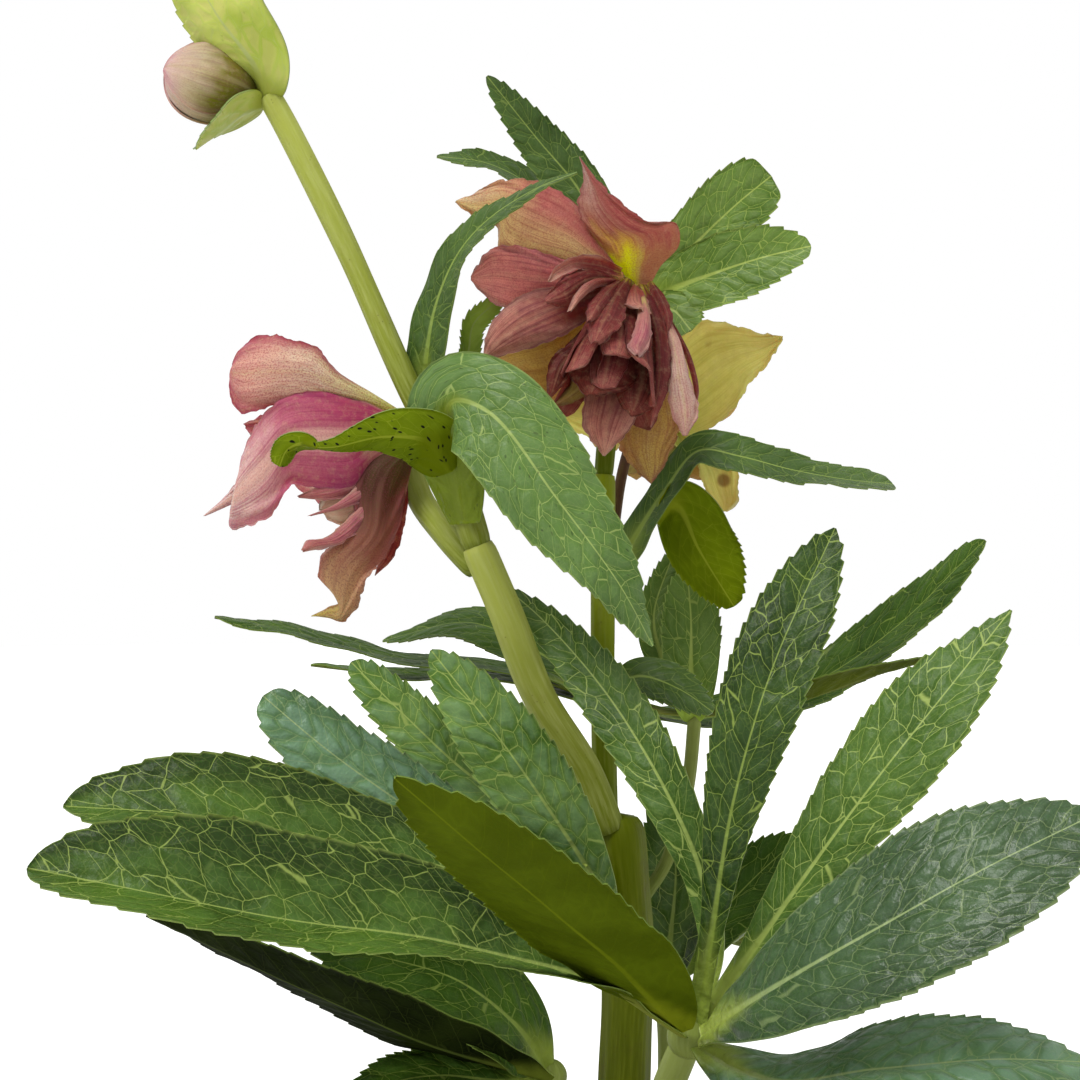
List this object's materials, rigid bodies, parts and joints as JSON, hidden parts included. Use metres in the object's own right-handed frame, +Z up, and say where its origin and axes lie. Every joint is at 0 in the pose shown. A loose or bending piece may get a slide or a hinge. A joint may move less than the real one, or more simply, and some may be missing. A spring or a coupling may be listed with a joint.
{
  "type": "hellebore plant",
  "caption": "Double-flowered hellebore with dusky rose nodding flowers, a bud, bracts and evergreen palmate leaves, standing in a plain round nursery pot filled with compost.",
  "frame": {"origin": "centre of the pot's flat underside, on the surface that it stands on", "axes": "+Z up along the stems, +X to the right and +Y to the back as seen from the front"},
  "size_m": [0.223, 0.2586, 0.4709],
  "materials": {
    "pot": "satin",
    "soil": "matte",
    "crown": "matte",
    "stem": "satin",
    "leaf": "satin",
    "bract": "satin",
    "rose_sepal": "satin",
    "yellow_sepal": "satin",
    "mauve_petal": "satin",
    "pink_petal": "satin",
    "yellow_petal": "satin",
    "bud": "satin"
  },
  "bodies": {
    "root": {"arching_bract": "bract", "bud_lower_bract": "bract", "bud_upper_bract": "bract", "center_stem": "stem", "crown": "crown", "flower_bud": "bud", "forked_stem": "stem", "front_bract": "bract", "front_leaf_stalk": "stem", "front_leaflet_1": "leaf", "front_leaflet_2": "leaf", "front_leaflet_3": "leaf", "front_leaflet_4": "leaf", "front_leaflet_5": "leaf", "front_leaflet_6": "leaf", "front_leaflet_7": "leaf", "front_leaflet_8": "leaf", "leaf_sheath": "stem", "left_flower_heart": "pink_petal", "left_sepal_far": "rose_sepal", "left_sepal_lower": "rose_sepal", "left_sepal_middle": "rose_sepal", "left_sepal_upper": "rose_sepal", "lobed_bract": "bract", "low_leaf_stalk": "stem", "low_leaflet_1": "leaf", "low_leaflet_2": "leaf", "main_flower_heart": "mauve_petal", "main_sepal_bottom": "rose_sepal", "main_sepal_left": "rose_sepal", "main_sepal_lower": "rose_sepal", "main_sepal_top": "rose_sepal", "main_sepal_upper": "rose_sepal", "olive_bract": "bract", "pot": "pot", "rear_flower_heart": "yellow_petal", "rear_flower_stalk": "stem", "rear_leaf_stalk": "stem", "rear_leaflet_1": "leaf", "rear_leaflet_2": "leaf", "rear_leaflet_3": "leaf", "rear_sepal_left": "yellow_sepal", "rear_sepal_low": "yellow_sepal", "rear_sepal_right": "yellow_sepal", "rear_sepal_top": "yellow_sepal", "right_bract": "bract", "shoot_leaf": "bract", "side_leaflet_1": "leaf", "side_leaflet_2": "leaf", "side_shoot": "stem", "soil": "soil", "stem_leaf": "bract", "upper_leaf_stalk": "stem", "upper_leaflet_1": "leaf", "upper_leaflet_2": "leaf", "upper_leaflet_3": "leaf", "upper_leaflet_4": "leaf", "upper_leaflet_5": "leaf", "upper_leaflet_6": "leaf", "upright_bract": "bract"}
  },
  "joints": []
}
